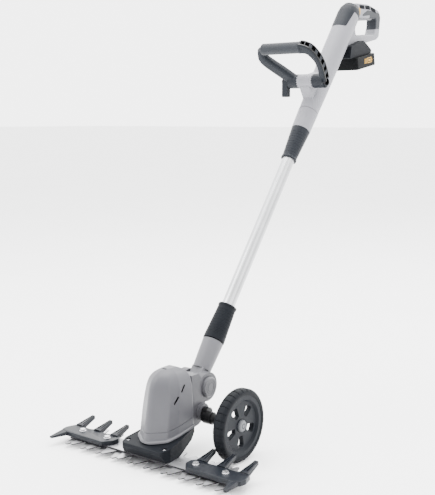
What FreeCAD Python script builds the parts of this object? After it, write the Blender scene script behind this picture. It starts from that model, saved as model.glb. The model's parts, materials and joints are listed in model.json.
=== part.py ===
import FreeCAD, Part
import math
import os

from FreeCAD import Placement, Rotation, Vector

# Cordless bar trimmer on a telescopic pole. Millimetres.
# +X is the operator's right as seen from the front, -Y is the cutting side, +Z is up.
# The origin lies on the ground, below the middle of the whole tool.

# ---- driving dimensions ----
POLE_RISE_DEG = 52.7        # angle of the pole above the ground
TILT_Y, TILT_Z = 141.0, 115.0   # tilt axis of the head, parallel to X

TUBE_R = 13.0               # aluminium pole
TUBE_WALL = 1.5
TUBE_LOW, TUBE_HIGH = 50.0, 760.0    # stations along the pole, from the tilt axis
FIT = 0.05                  # radial clearance of a shaft or a sliding tube
GAP = 0.4                   # clearance between loose neighbours
WALL = 2.5                  # moulded wall

NECK_LOW, NECK_HIGH = 30.0, 90.0
LOW_COLLAR = (92.0, 167.0)
UP_COLLAR = (517.0, 592.0)
HOUSING_LOW = 592.5
HOUSING_HIGH = 912.0
CAP_LOW, CAP_HIGH = 850.0, 936.0

WHEEL_R = 67.0
WHEEL_X, WHEEL_Y = 121.0, 115.0
TYRE_W = 23.0
SOCKET_R = 10.0
SOCKET_Y, SOCKET_Z = 119.0, 74.0     # axis of the two wheel sockets

LOWER_BLADE_Z = 7.0
UPPER_BLADE_Z = 9.3
BLADE_T = 2.0
BAR_Z, BAR_T = 11.6, 3.0
BASE_Z = BAR_Z + BAR_T
BLADE_MID_Y = 19.0
TOOTH_PITCH = 39.3
TOOTH_TIP = 49.0            # tip's distance from the blade's middle
TOOTH_ROOT = 25.0

GEAR_X, GEAR_Y = 0.0, 19.0
GEAR_TEETH, PINION_TEETH = 33, 9
GEAR_MODULE = 1.5
MOTOR_Y = GEAR_Y + GEAR_MODULE * (GEAR_TEETH + PINION_TEETH) / 2

HANDLE_HALF = 13.0          # half the width of the rear loop
BUTTON_Y, BUTTON_Z = 716.0, 852.5    # lock-off button in the loop's right flank
TRIGGER_Y, TRIGGER_Z = 799.0, 852.0  # the trigger's hinge
BATTERY_TILT = 11.0
BATTERY_Y, BATTERY_Z = 679.0, 719.0  # lower front edge of the pack

BOSS_Y, BOSS_Z = 524.0, 691.0        # axis of the front handle
LOOP_RISE_DEG = 126.3       # direction of the front handle's loop from +Y
BAR_RISE = 83.0             # from the front handle's axis to its grip bar


# ---- helpers ----
def block(x, y, z):
    """A box from three (low, high) pairs."""
    size = (x[1] - x[0], y[1] - y[0], z[1] - z[0])
    return Part.makeBox(size[0], size[1], size[2], Vector(x[0], y[0], z[0]))


def rod(start, direction, radius, length):
    return Part.makeCylinder(radius, length, Vector(*start), Vector(*direction))


def rod_x(x0, x1, y, z, radius):
    return rod((x0, y, z), (1, 0, 0), radius, x1 - x0)


def rod_z(x, y, z0, z1, radius):
    return rod((x, y, z0), (0, 0, 1), radius, z1 - z0)


def rounded_wire(points, radii):
    """A closed wire through the points, each corner rounded by its radius."""
    count = len(points)
    if not isinstance(radii, (list, tuple)):
        radii = [radii] * count
    corners = []
    for index in range(count):
        here = points[index]
        before = (points[index - 1] - here).normalize()
        after = (points[(index + 1) % count] - here).normalize()
        half = before.getAngle(after) / 2
        reach = radii[index] / math.tan(half)
        bisector = (before + after).normalize()
        middle = here + bisector * (radii[index] / math.sin(half) - radii[index])
        corners.append((here + before * reach, middle, here + after * reach))
    edges = []
    for index in range(count):
        first, middle, last = corners[index]
        start = corners[(index + 1) % count][0]
        edges.append(Part.Arc(first, middle, last).toShape())
        if (start - last).Length > 0.001:
            edges.append(Part.LineSegment(last, start).toShape())
    return Part.Wire(edges)


def side_prism(outline, x0, x1, radii=1.0):
    """A (y, z) outline extruded along X."""
    wire = rounded_wire([Vector(x0, y, z) for y, z in outline], radii)
    return Part.Face(wire).extrude(Vector(x1 - x0, 0, 0))


def plan_prism(outline, z0, z1, radii=1.0):
    """An (x, y) outline extruded along Z."""
    wire = rounded_wire([Vector(x, y, z0) for x, y in outline], radii)
    return Part.Face(wire).extrude(Vector(0, 0, z1 - z0))


def turned(profile):
    """An (r, z) profile turned about the Z axis."""
    points = [Vector(r, 0, z) for r, z in profile]
    face = Part.Face(Part.makePolygon(points + points[:1]))
    return face.revolve(Vector(0, 0, 0), Vector(0, 0, 1), 360)


def turned_x(profile, y, z):
    """An (r, x) profile turned about an axis along X through (y, z)."""
    shape = turned(profile)
    shape.Placement = Placement(Vector(0, y, z), Rotation(Vector(0, 1, 0), 90))
    return shape


def on_pole(shape):
    """Takes a shape from the pole's own frame, where Z runs up the pole."""
    turn = Rotation(Vector(1, 0, 0), POLE_RISE_DEG - 90)
    shape.Placement = Placement(Vector(0, TILT_Y, TILT_Z), turn).multiply(shape.Placement)
    return shape


def on_battery(shape):
    """Takes a shape from the battery's own frame, where Y is the way it slides off."""
    turn = Rotation(Vector(1, 0, 0), BATTERY_TILT)
    place = Placement(Vector(0, BATTERY_Y, BATTERY_Z), turn)
    shape.Placement = place.multiply(shape.Placement)
    return shape


def on_loop(shape):
    """Takes a shape from the front handle's own frame: X, then Y across, Z along the loop."""
    turn = Rotation(Vector(1, 0, 0), LOOP_RISE_DEG - 90)
    place = Placement(Vector(0, BOSS_Y, BOSS_Z), turn)
    shape.Placement = place.multiply(shape.Placement)
    return shape


def mirrored(shape):
    return shape.mirror(Vector(0, 0, 0), Vector(1, 0, 0))


def union(shapes):
    return shapes[0].multiFuse(list(shapes[1:])).removeSplitter()


def cut(shape, tools):
    return shape.cut(Part.makeCompound(list(tools)))


def eased(shape, radius, picks):
    """Rounds the edges that picks names, and leaves them sharp if that can't be built."""
    edges = [edge for edge in shape.Edges if picks(edge)]
    try:
        rounded = shape.makeFillet(radius, edges)
    except Part.OCCError:
        return shape
    return rounded if rounded.isValid() and rounded.Volume > 0 else shape


def halves(shape):
    """The -X half and the +X half of a moulded housing."""
    box = shape.BoundBox
    y = (box.YMin - 1, box.YMax + 1)
    z = (box.ZMin - 1, box.ZMax + 1)
    left = shape.common(block((box.XMin - 1, 0), y, z))
    right = shape.common(block((0, box.XMax + 1), y, z))
    return left, right


def screw(head_r, head_h, shank_r, shank_h):
    """A button-head screw standing on Z = 0, its shank below."""
    head = turned([(0, 0), (head_r, 0), (head_r, head_h * 0.4), (head_r * 0.7, head_h), (0, head_h)])
    shank = rod_z(0, 0, -shank_h, 0, shank_r)
    cross = [block((-0.5, 0.5), (-2.2, 2.2), (head_h - 0.9, head_h + 1)),
             block((-2.2, 2.2), (-0.5, 0.5), (head_h - 0.9, head_h + 1))]
    return cut(union([head, shank]), cross)


def hexagon(radius, z0, z1):
    points = [(radius * math.cos(math.radians(a)), radius * math.sin(math.radians(a)))
              for a in range(0, 360, 60)]
    return plan_prism(points, z0, z1, 0.4)


def moved(shape, x, y, z):
    copy = shape.copy()
    copy.translate(Vector(x, y, z))
    return copy


PARTS = {}


def keep(name, shape):
    PARTS[name] = shape


# ---- rear housing and its loop ----
LOOP_OUTLINE = [(640, 742), (668, 771), (732, 780), (810, 796), (822, 803), (828, 850),
                (818, 864), (766, 873), (714, 871), (660, 800)]
LOOP_ROUND = [2, 6, 30, 8, 10, 12, 14, 30, 4, 2]
HAND_HOLE = [(711, 800), (795, 808), (802, 826), (803, 844), (722, 838), (707, 814)]
HAND_ROUND = [6, 7, 15, 5, 8, 12]
TOP_PADS = [(723, 746), (749, 773), (776, 801)]
SCREW_PLACES = [(595.6, 740.3), (654, 759.8), (671, 825.5), (724, 790), (812, 806)]


def housing_solid(shrink):
    """The closed outer form of the housing's barrel, or its inside."""
    low = HOUSING_LOW - (1 if shrink else 0)
    high = HOUSING_HIGH - shrink
    profile = [(0, low), (20.5 - shrink, low), (21.6 - shrink, 640), (21.2 - shrink, 641),
               (22.6 - shrink, 690), (24.6 - shrink, 802), (25.0 - shrink, high), (0, high)]
    return on_pole(turned(profile))


def cap_zone(ease):
    """The front and the flanks of the barrel's top, which the end cap covers."""
    outline = [(-40, 861 + ease), (-17 - ease, 867 + ease), (-11.5 - ease, 916 + ease),
               (40, 916 + ease), (40, 960), (-40, 960)]
    return on_pole(side_prism(outline, -40, 40, [1, 5, 1, 1, 1, 1]))


def handle_boss():
    """The upright bracket for the front handle, in the pole's front."""
    outline = [(BOSS_Y - 6, BOSS_Z + 4), (BOSS_Y + 2, BOSS_Z + 12), (BOSS_Y + 46, BOSS_Z + 22),
               (BOSS_Y + 42, BOSS_Z - 40), (BOSS_Y + 6, BOSS_Z - 40), (BOSS_Y - 11, BOSS_Z - 14)]
    web = side_prism(outline, -12, 12, 2)
    head = rod_x(-17, 17, BOSS_Y, BOSS_Z, 15)
    return union([web, head])


def ring_teeth(inner, outer, x0, x1, count):
    """Radial face teeth of the front handle's joint."""
    teeth = []
    for index in range(count):
        tooth = block((x0, x1), (-1.2, 1.2), (inner, outer))
        tooth.rotate(Vector(0, 0, 0), Vector(1, 0, 0), 360 * index / count)
        tooth.translate(Vector(0, BOSS_Y, BOSS_Z))
        teeth.append(tooth)
    return teeth


def rear_frame():
    """The loop that carries the rear grip, as a slab with eased rims."""
    slab = side_prism(LOOP_OUTLINE, -HANDLE_HALF, HANDLE_HALF, LOOP_ROUND)
    frame = slab.cut(side_prism(HAND_HOLE, -20, 20, HAND_ROUND))
    return eased(frame, 4.0, lambda edge: abs(abs(edge.CenterOfMass.x) - HANDLE_HALF) < 0.01)


def trigger_room():
    """The room for the trigger, its swing and the switch, in the loop's upper arm."""
    outline = [(722, 830), (794, 838), (806, 848), (804, 860), (728, 863), (716, 853)]
    return side_prism(outline, -8.5, 8.5, 2)


def grip_sleeve_form():
    """The stretch of the loop that the soft grip covers."""
    outline = [(772, 816), (840, 824), (840, 853), (818, 858), (762, 860), (738, 848), (738, 844),
               (772, 849)]
    return side_prism(outline, -20, 20, 1)


def oval_rod(x0, x1, ease):
    """The lock-off button's upright oval, or with no easing the way it slides in."""
    half_y, half_z = 5.0 - ease, 8.5 - ease
    y, z = BUTTON_Y, BUTTON_Z
    outline = [(y - half_y, z - half_z), (y + half_y, z - half_z), (y + half_y, z + half_z),
               (y - half_y, z + half_z)]
    return side_prism(outline, x0, x1, half_y - 0.2)


def top_pad(low, high, ease):
    """One slanting pad in the crest of the loop."""
    outline = [(low + ease, 864.5 + ease), (high - ease, 864.5 + ease), (high - 8 - ease, 885),
               (low - 8 + ease, 885)]
    return side_prism(outline, -11 + ease, 11 - ease, 0.5)


def rear_housing():
    barrel = housing_solid(0)
    teeth = ring_teeth(9.5, 15, 17, 18.6, 18) + ring_teeth(9.5, 15, -18.6, -17, 18)
    frame = rear_frame()
    skin = grip_sleeve_form().common(frame)
    core_half = HANDLE_HALF - WALL
    core = union([block((-core_half, core_half), (700, 806), (846, 870)),
                  block((-core_half, core_half), (805.5, 824), (790, 870))])
    sleeve = skin.cut(core)
    shell = union([barrel, handle_boss(), frame.cut(sleeve)] + teeth)
    recess = on_pole(rod_z(0, 0, CAP_LOW, 960, 40).cut(rod_z(0, 0, CAP_LOW - 1, 961, 22.6)))
    tools = [housing_solid(WALL), trigger_room(), recess.common(cap_zone(0)).cut(frame)]
    tools.append(rod_x(-20, 20, BOSS_Y, BOSS_Z, 4.0 + FIT))
    tools.append(rod_x(-10.4, 10.4, TRIGGER_Y, TRIGGER_Z, 1.8 + FIT))
    tools.append(oval_rod(6, 20, 0))
    tools += [top_pad(low, high, 0) for low, high in TOP_PADS]
    tools += [rod_x(-40, -6, y, z, 3.6) for y, z in SCREW_PLACES]
    left, right = halves(cut(shell, tools))
    keep("housing_left", left)
    keep("housing_right", right)
    keep("rear_grip_sleeve", sleeve.cut(trigger_room()))
    pads = [top_pad(low, high, 0.2).common(frame) for low, high in TOP_PADS]
    keep("top_grip_pads", Part.makeCompound(pads))


def housing_screws():
    """The screws that hold the housing's halves, in its left flank."""
    screws = []
    for y, z in SCREW_PLACES:
        piece = screw(3.2, 2.2, 1.5, 0.5)
        piece.rotate(Vector(0, 0, 0), Vector(0, 1, 0), -90)
        screws.append(moved(piece, -7.0, y, z))
    keep("housing_screws", Part.makeCompound(screws))


def end_cap():
    """Dark cap over the housing's upper end, open where the loop joins."""
    outer = [(22.8, CAP_LOW), (25.3, CAP_LOW), (25.4, 912), (23.8, 925), (19, CAP_HIGH),
             (0, CAP_HIGH), (0, CAP_HIGH - 4), (16, CAP_HIGH - 4), (20.5, 922), (20.5, HOUSING_HIGH + 0.2),
             (22.8, HOUSING_HIGH + 0.2)]
    cap = on_pole(turned(outer)).common(union([cap_zone(0.2), above_barrel()]))
    loop = side_prism(LOOP_OUTLINE, -HANDLE_HALF, HANDLE_HALF, LOOP_ROUND)
    cap = cut(cap, [loop, oval_rod(6, 30, -1.0)])
    keep("end_cap", max(cap.Solids, key=lambda solid: solid.Volume))
    plug = turned([(0, CAP_HIGH), (7.5, CAP_HIGH), (6.5, CAP_HIGH + 1.5), (0, CAP_HIGH + 2)])
    keep("end_plug", on_pole(moved(plug, 0, -11, 0)))


def above_barrel():
    return on_pole(rod_z(0, 0, HOUSING_HIGH + 0.2, 960, 60))


def tube_clamp():
    """Slotted collet that guides and grips the pole."""
    low, high = UP_COLLAR[0] + 38, HOUSING_LOW + 50
    collet = turned([(TUBE_R + FIT, low), (15.6, low), (15.9, HOUSING_LOW), (17.9, HOUSING_LOW),
                     (17.9, high), (TUBE_R + FIT, high)])
    slots = []
    for index in range(4):
        slot = block((-0.8, 0.8), (0, 20), (low - 1, HOUSING_LOW - 6))
        slot.rotate(Vector(0, 0, 0), Vector(0, 0, 1), 45 + 90 * index)
        slots.append(slot)
    keep("tube_clamp", on_pole(cut(collet, slots)))


def switch_parts():
    """The switch above the trigger and the control board beside the pole."""
    body = block((-7, 7), (742, 764), (853.5, 861))
    keep("main_switch", union([body, rod_z(0, 748, 847.3, 854, 2)]))
    board = block((-10, 10), (14.5, 16.1), (730, 790))
    chips = [block((-8 + 5 * i, -4 + 5 * i), (16.1, 18.2), (740 + 12 * i, 748 + 12 * i)) for i in range(3)]
    keep("control_board", on_pole(union([board] + chips)))


def trigger():
    """The finger paddle below the loop's upper arm, with its moulded hinge pin."""
    outline = [(727, 833), (790, 840), (802, 849), (799, 857), (792, 855), (788, 847), (726, 840)]
    paddle = side_prism(outline, -7.6, 7.6, 1)
    paddle = eased(paddle, 1.2, lambda edge: edge.CenterOfMass.z < 837)
    eye = rod_x(-7.6, 7.6, TRIGGER_Y, TRIGGER_Z, 3.6)
    keep("trigger", union([paddle, eye, rod_x(-10, 10, TRIGGER_Y, TRIGGER_Z, 1.8)]))


def lock_off_button():
    """The gold button in the loop's right flank, which frees the trigger."""
    button = oval_rod(10.6, HANDLE_HALF + 4.5, 0.4)
    keep("lock_off_button", eased(button, 1.0, lambda edge: edge.BoundBox.XMin > 17.4))


# ---- battery ----
def battery_socket():
    """The dark foot that the battery slides into."""
    foot = side_prism([(-16, 27.6), (82, 27.6), (86, 34), (66, 50), (50, 60), (-6, 54)], -28, 28, 3)
    foot = on_battery(foot)
    rail_room = on_battery(block((-20.6, 20.6), (-0.6, 90), (27, 38.2)))
    frame = side_prism(LOOP_OUTLINE, -HANDLE_HALF, HANDLE_HALF, LOOP_ROUND)
    foot = cut(foot, [rail_room, frame, housing_solid(0)])
    keep("battery_socket", max(foot.Solids, key=lambda solid: solid.Volume))
    blades = [block((-12.4 + 8 * i, -11.6 + 8 * i), (-0.5, 9), (29, 36)) for i in range(4)]
    keep("battery_contacts", on_battery(Part.makeCompound(blades)))


def battery_pack():
    """The pack: a case with two rails, the cells, a label and a latch button."""
    plan = [(-37, -1), (37, -1), (37, 90), (-37, 90)]
    case = plan_prism(plan, 0, 27, [4, 4, 12, 12])
    case = eased(case, 3.0, lambda edge: edge.CenterOfMass.z < 0.5)
    tower = block((-20, 20), (0, 80), (27, 37.5))
    slots = [block((-13.4 + 8 * i, -10.6 + 8 * i), (-1, 11), (28.5, 36.5)) for i in range(4)]
    inside = block((-34.5, 34.5), (4, 78), (2.5, 24.5))
    upper_room = block((-17.5, 17.5), (14, 73), (24.4, 35))
    button_room = block((-12, 12), (79, 97), (8, 19))
    case = cut(union([case, tower]), slots + [inside, upper_room, button_room])
    keep("battery_case", on_battery(case))
    cells = []
    for index in range(3):
        cells.append(rod_x(-32.5, 32.5, 14 + 18.6 * index, 12.0, 9.1))
    for index in range(2):
        cells.append(rod_x(-17, 17, 26.5 + 18.6 * index, 28.5, 6.0))
    keep("battery_cells", on_battery(Part.makeCompound(cells)))
    label = plan_prism([(37.0, 30), (37.6, 30), (37.6, 70), (37.0, 70)], 6, 23, 0.1)
    keep("battery_label", on_battery(label))
    button = union([block((-11.6, 11.6), (85, 91.8), (8.4, 18.6)), block((-5, 5), (83, 85.5), (10, 17))])
    button = eased(button, 1.0, lambda edge: edge.CenterOfMass.y > 91.7)
    keep("battery_latch", on_battery(button))


# ---- front handle ----
LEFT_ARM = [(-26, -6), (-40, -6), (-96, 50), (-99, 62), (-90, 74), (-86, 90), (-80, 90), (-78, 68),
            (-28, 18)]
RIGHT_ARM = [(24, -13), (44, -13), (50, 0), (54, 36), (46, 72), (28, 94), (12, 94), (12, 71),
             (24, 71), (36, 60), (41, 36), (34, 12), (24, 13)]


def loop_plate(outline, half, radii):
    """An outline in the loop's plane, thickened to both sides."""
    wire = rounded_wire([Vector(x, -half, z) for x, z in outline], radii)
    return Part.Face(wire).extrude(Vector(0, 2 * half, 0))


def front_handle():
    hubs = [rod_x(-42, -19.2, 0, 0, 15), rod_x(19.2, 44, 0, 0, 15)]
    left_arm = loop_plate(LEFT_ARM, 9.5, [3, 3, 8, 6, 5, 2, 2, 5, 3])
    right_arm = loop_plate(RIGHT_ARM, 9.5, [3, 5, 10, 30, 25, 22, 3, 3, 10, 14, 20, 6, 3])
    bar = rod_x(-86, 22, 0, BAR_RISE, 9.0)
    bore = rod_x(-60, 60, 0, 0, 4.0 + FIT)
    window = loop_plate([(43, 26), (50, 36), (45, 64), (38, 70), (42, 50)], 12, 1.5)
    frame = union(hubs + [left_arm, right_arm, bar])
    frame = eased(frame, 3.0, lambda edge: abs(abs(edge.CenterOfMass.y) - 9.5) < 0.01)
    head_rooms = [rod_x(38, 50, 0, 0, 8.0), rod_x(-64, -42.3, 0, 0, 10.4)]
    frame = cut(frame, [bore, window] + head_rooms)
    grip = rod_x(-82, 16, 0, BAR_RISE, 12.2)
    grip = eased(grip, 3.0, lambda edge: abs(edge.BoundBox.XLength) < 0.01)
    keep("front_handle_frame", on_loop(frame.cut(rod_x(-82, 16, 0, BAR_RISE, 12.6).cut(bar))))
    keep("front_soft_grip", on_loop(grip.cut(rod_x(-90, 20, 0, BAR_RISE, 9.0))))
    bolt = union([rod_x(-44, 38, 0, 0, 4.0), rod_x(38, 43.5, 0, 0, 7.5)])
    keep("front_handle_bolt", on_loop(bolt))
    hub = rod_x(-60.5, -44.4, BOSS_Y, BOSS_Z, 6.8)
    wing = block((-60, -47), (BOSS_Y - 6.8, BOSS_Y + 6.8), (BOSS_Z - 33, BOSS_Z))
    wing = eased(wing, 2.0, lambda edge: edge.CenterOfMass.z < BOSS_Z - 32.9)
    keep("clamp_lever", union([hub, wing]))


# ---- pole and its collars ----
def collar(name, low, high, low_r, high_r, room_low, room_high):
    """A ribbed clamp sleeve about the pole, hollow for the collet it closes."""
    middle = turned([(0, low), (low_r, low), (high_r, high), (0, high)])
    if low_r < high_r:
        bead = turned([(0, low), (low_r + 1.6, low), (low_r + 1.6, low + 3), (low_r, low + 6), (0, low + 6)])
    else:
        bead = turned([(0, high), (high_r + 1.2, high), (high_r + 1.2, high - 3), (high_r, high - 6),
                       (0, high - 6)])
    sleeve = union([middle, bead])
    grooves = []
    for index in range(9):
        share = (index + 2.2) / 12.5
        station = low + (high - low) * share
        radius = low_r + (high_r - low_r) * share
        ring = turned([(radius - 0.9, station), (radius + 3, station - 1.6), (radius + 3, station + 1.6)])
        grooves.append(ring)
    bore = rod_z(0, 0, low - 1, high + 1, TUBE_R + GAP)
    room = rod_z(0, 0, room_low, room_high, 16.3)
    keep(name, on_pole(cut(sleeve, grooves + [bore, room])))


def pole_tube():
    tube = rod_z(0, 0, TUBE_LOW, TUBE_HIGH, TUBE_R)
    bore = rod_z(0, 0, TUBE_LOW - 1, TUBE_HIGH + 1, TUBE_R - TUBE_WALL)
    keep("pole_tube", on_pole(tube.cut(bore)))
    keep("motor_lead", on_pole(rod_z(0, 0, TUBE_LOW + 2, TUBE_HIGH + 12, 2.6)))
    bush = rod_z(0, 0, TUBE_HIGH - 12, TUBE_HIGH, TUBE_R - TUBE_WALL)
    keep("lead_bush", on_pole(bush.cut(rod_z(0, 0, TUBE_HIGH - 13, TUBE_HIGH + 1, 2.6))))


def neck():
    """The light grey neck between the pole and the head, split down its middle."""
    profile = [(0, NECK_LOW), (18, NECK_LOW), (20.7, NECK_HIGH), (15.9, NECK_HIGH), (15.9, 128), (0, 128)]
    cone = turned(profile)
    web = block((-13.6, 13.6), (-14, 16), (5, NECK_LOW + 2))
    knuckle = rod_x(-13.6, 13.6, 0, 0, 23)
    bore = rod_z(0, 0, TUBE_LOW - 1, 130, TUBE_R + FIT)
    lead_way = rod_z(0, 0, 30, TUBE_LOW, 6)
    pin = rod_x(-20, 20, 0, 0, 6 + FIT)
    solid = cut(union([cone, web, knuckle]), [bore, lead_way, pin])
    left, right = halves(on_pole(solid))
    keep("neck_left", left)
    keep("neck_right", right)


# ---- head ----
LIP_RISE = 0.16             # the cover's lower rim rises this much for each mm backwards


def rim_height(y):
    return 37.4 + LIP_RISE * (y + 12)


# the cover's plan at rising levels: level, prow, corner x, corner y, half width, its y, back
COVER_PLANS = [(30, -7, 34, 19, 38, 46, 92, 7), (95, 5, 31, 26, 36, 50, 92, 7),
               (136, 13, 28, 34, 33, 54, 92, 7), (149, 20, 25, 38, 29, 56, 90, 7),
               (158, 31, 19, 44, 22, 58, 86, 5), (163, 43, 12, 50, 14, 60, 80, 4),
               (165.5, 52, 6, 56, 8, 62, 74, 2)]


def cover_form(shrink):
    """The prow-shaped motor cover as a solid, or the room inside it."""
    wires = []
    for level, prow, corner_x, corner_y, half, half_y, back, radius in COVER_PLANS:
        points = [(0, prow + shrink * 1.15), (corner_x - shrink, corner_y + shrink * 0.6),
                  (half - shrink, half_y), (half - shrink, back - shrink),
                  (-half + shrink, back - shrink), (-half + shrink, half_y),
                  (-corner_x + shrink, corner_y + shrink * 0.6)]
        if min(corner_x, half) - shrink < 3:
            continue
        rim = max(1.0, radius - shrink)
        height = level - shrink * max(0.0, level - 95) / 70.5
        wires.append(rounded_wire([Vector(x, y, height) for x, y in points], rim))
    return Part.makeLoft(wires, True, True)


def below_rim(lift):
    """Everything below the cover's rim plane."""
    outline = [(-60, rim_height(-60) + lift), (140, rim_height(140) + lift), (140, -5), (-60, -5)]
    return side_prism(outline, -80, 80, 0.5)


def motor_cover():
    shell = cover_form(0).cut(cover_form(WALL))
    flange_plan = [(0, -9), (37, 16), (41, 46), (40, 92), (-40, 92), (-41, 46), (-37, 16)]
    flange = plan_prism(flange_plan, 30, 70, [7, 8, 8, 1, 1, 8, 8])
    flange = flange.cut(cover_form(WALL)).common(below_rim(3.2))
    shell = union([shell, flange]).cut(below_rim(0))
    vents = []
    for y, z in ((64, 131), (45, 113)):
        vent = block((-50, 50), (-8, 8), (-1.8, 1.8))
        vent.rotate(Vector(0, 0, 0), Vector(1, 0, 0), 48)
        vents.append(moved(vent, 0, y, z))
    for x in (-10, 10):
        vents.append(block((x - 4, x + 4), (58, 60.4), (150, 175)))
    shell = cut(shell, vents)
    keep("motor_cover", max(shell.Solids, key=lambda solid: solid.Volume))


def head_housing():
    """The housing behind the cover: the tilt joint's cheeks and the wheel sockets."""
    outline = [(92, 47), (112, 50), (130, 60), (133, 100), (127, 130), (112, 147), (92, 147)]
    core = side_prism(outline, -31, 31, [0.5, 8, 8, 10, 6, 5, 0.5])
    cheeks = [rod_x(14.8, 30, TILT_Y, TILT_Z, 27.5), rod_x(-30, -14.8, TILT_Y, TILT_Z, 27.5)]
    bosses = [rod_x(24, 37, SOCKET_Y, SOCKET_Z, 16), rod_x(-37, -24, SOCKET_Y, SOCKET_Z, 16)]
    solid = union([core] + cheeks + bosses)
    slot = rod_x(-14.8, 14.8, TILT_Y, TILT_Z, 23.8)
    neck_way = side_prism([(124, 118), (141, 92), (200, 100), (200, 170), (124, 170)],
                          -14.8, 14.8, 1)
    sockets = [rod_x(15, 60, SOCKET_Y, SOCKET_Z, 13.5), rod_x(-60, -15, SOCKET_Y, SOCKET_Z, 13.5)]
    pin = rod_x(-40, 40, TILT_Y, TILT_Z, 6.0)
    caps = [rod_x(27, 40, TILT_Y, TILT_Z, 20), rod_x(-40, -27, TILT_Y, TILT_Z, 20)]
    room = side_prism([(89, 62), (100, 62), (102, 130), (98, 142), (89, 142)], -27, 27, 1)
    solid = cut(solid, [slot, neck_way, pin, room] + sockets + caps)
    left, right = halves(solid)
    keep("head_housing_left", left)
    keep("head_housing_right", right)
    keep("tilt_pin", rod_x(-26.5, 26.5, TILT_Y, TILT_Z, 6.0))
    cap = turned_x([(0, 0), (19.6, 0), (19.6, 6), (17, 9.5), (0, 9.5)], TILT_Y, TILT_Z)
    rings = [turned_x([(r, 8.9), (r + 1.2, 8.9), (r + 1.2, 11), (r, 11)], TILT_Y, TILT_Z)
             for r in (8, 12)]
    left_cap = mirrored(moved(cut(cap, rings), 27, 0, 0))
    keep("tilt_cap", left_cap)
    button = moved(cut(cap, rings), 27.5, 0, 0)
    button = button.cut(rod_x(20, 29.5, TILT_Y, TILT_Z, 30))
    keep("tilt_button", button)
    bush = turned_x([(SOCKET_R, 16), (13.5, 16), (13.5, 37), (14.5, 37.2), (14.5, 39), (SOCKET_R, 39)],
                    SOCKET_Y, SOCKET_Z)
    bush = union([bush, rod_x(15, 17, SOCKET_Y, SOCKET_Z, 13.5)])
    keep("right_socket_bush", bush)
    keep("left_socket_bush", mirrored(bush))


def gear_case():
    """The dark base that carries the gears, between the cover and the blades."""
    plan = [(-46, -14), (46, -14), (53, 4), (48, 42), (38, 91.8), (-38, 91.8), (-48, 42), (-53, 4)]
    body = plan_prism(plan, 0, 80, [8, 8, 10, 10, 2, 2, 10, 10])
    side = [(-4, BASE_Z), (34, BASE_Z), (80, 32), (91.8, 45), (91.8, rim_height(91.8)),
            (-13.5, rim_height(-13.5) - 2), (-13.5, 30)]
    body = body.common(side_prism(side, -60, 60, [2, 12, 8, 0.5, 0.5, 2, 3])).cut(above_rim())
    gear_room = [rod_z(GEAR_X, GEAR_Y, 24, 34.6, 27), rod_z(GEAR_X, MOTOR_Y, 24, 36, 9.5)]
    hub_room = rod_z(GEAR_X, GEAR_Y, 5, 24.5, 13.5)
    post = rod_z(GEAR_X, GEAR_Y, 30, 60, 5.0)
    motor_seat = rod_z(0, MOTOR_Y, 35, 90, 15)
    screws = [rod_z(side_x, 1, 34, 60, 4.2) for side_x in (-43, 43)]
    shanks = [rod_z(side_x, 1, 24, 60, 1.5) for side_x in (-43, 43)]
    tools = gear_room + [hub_room, post, motor_seat] + screws + shanks + plate_legs()
    keep("gear_case", cut(body, tools))
    heads = [moved(screw(3.8, 2.4, 1.5, 9), side_x, 1, 34.0) for side_x in (-43, 43)]
    keep("case_screws", Part.makeCompound(heads))


def above_rim():
    """Everything above the gear case's sloping top."""
    outline = [(-60, rim_height(-60)), (140, rim_height(140)), (140, 120), (-60, 120)]
    return side_prism(outline, -80, 80, 0.5)


def drive_parts():
    """Motor, pinion, gear with its two eccentrics, and the post they turn on."""
    can = rod_z(0, MOTOR_Y, 70, 124, 19)
    neck_ring = rod_z(0, MOTOR_Y, 66.5, 70, 8)
    tail = rod_z(0, MOTOR_Y, 124, 128, 6)
    motor = union([can, neck_ring, tail])
    keep("motor", motor.cut(rod_z(0, MOTOR_Y, 40, 90, 2.6)))
    plate = plan_prism([(-29, 34), (29, 34), (29, 80), (-29, 80)], 66, 70, 4)
    keep("motor_plate", union([plate.cut(rod_z(0, MOTOR_Y, 50, 80, 8.0))] + plate_legs()))
    shaft = rod_z(0, MOTOR_Y, 36, 88, 2.5)
    pinion = moved(gear_wheel(PINION_TEETH, 25.5, 36, 270), 0, MOTOR_Y, 0)
    keep("pinion", union([pinion, shaft]))
    disc = gear_wheel(GEAR_TEETH, 25, 33, 90 + 180.0 / GEAR_TEETH)
    hub = rod_z(0, 0, 11.0, 25.2, 9)
    angle = math.radians(116.7)
    throw = (5 * math.cos(angle), 5 * math.sin(angle))
    upper = rod_z(throw[0], throw[1], 9.1, 11.2, 7.5)
    lower = rod_z(-throw[0], -throw[1], 6.9, 9.2, 7.5)
    wheel = union([disc, hub, upper, lower]).cut(rod_z(0, 0, 5, 40, 2.6))
    keep("drive_gear", wheel.translated(Vector(GEAR_X, GEAR_Y, 0)))
    post = union([rod_z(0, 0, 34.8, 46, 5), rod_z(0, 0, 4.4, 36, 2.55), rod_z(0, 0, 4.0, 6.5, 4.5)])
    keep("gear_post", post.translated(Vector(GEAR_X, GEAR_Y, 0)))


def plate_legs():
    """The posts that stand the motor's plate on the gear case."""
    return [rod_z(x, y, 40, 67, 3) for x in (-24, 24) for y in (40, 74)]


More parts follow.
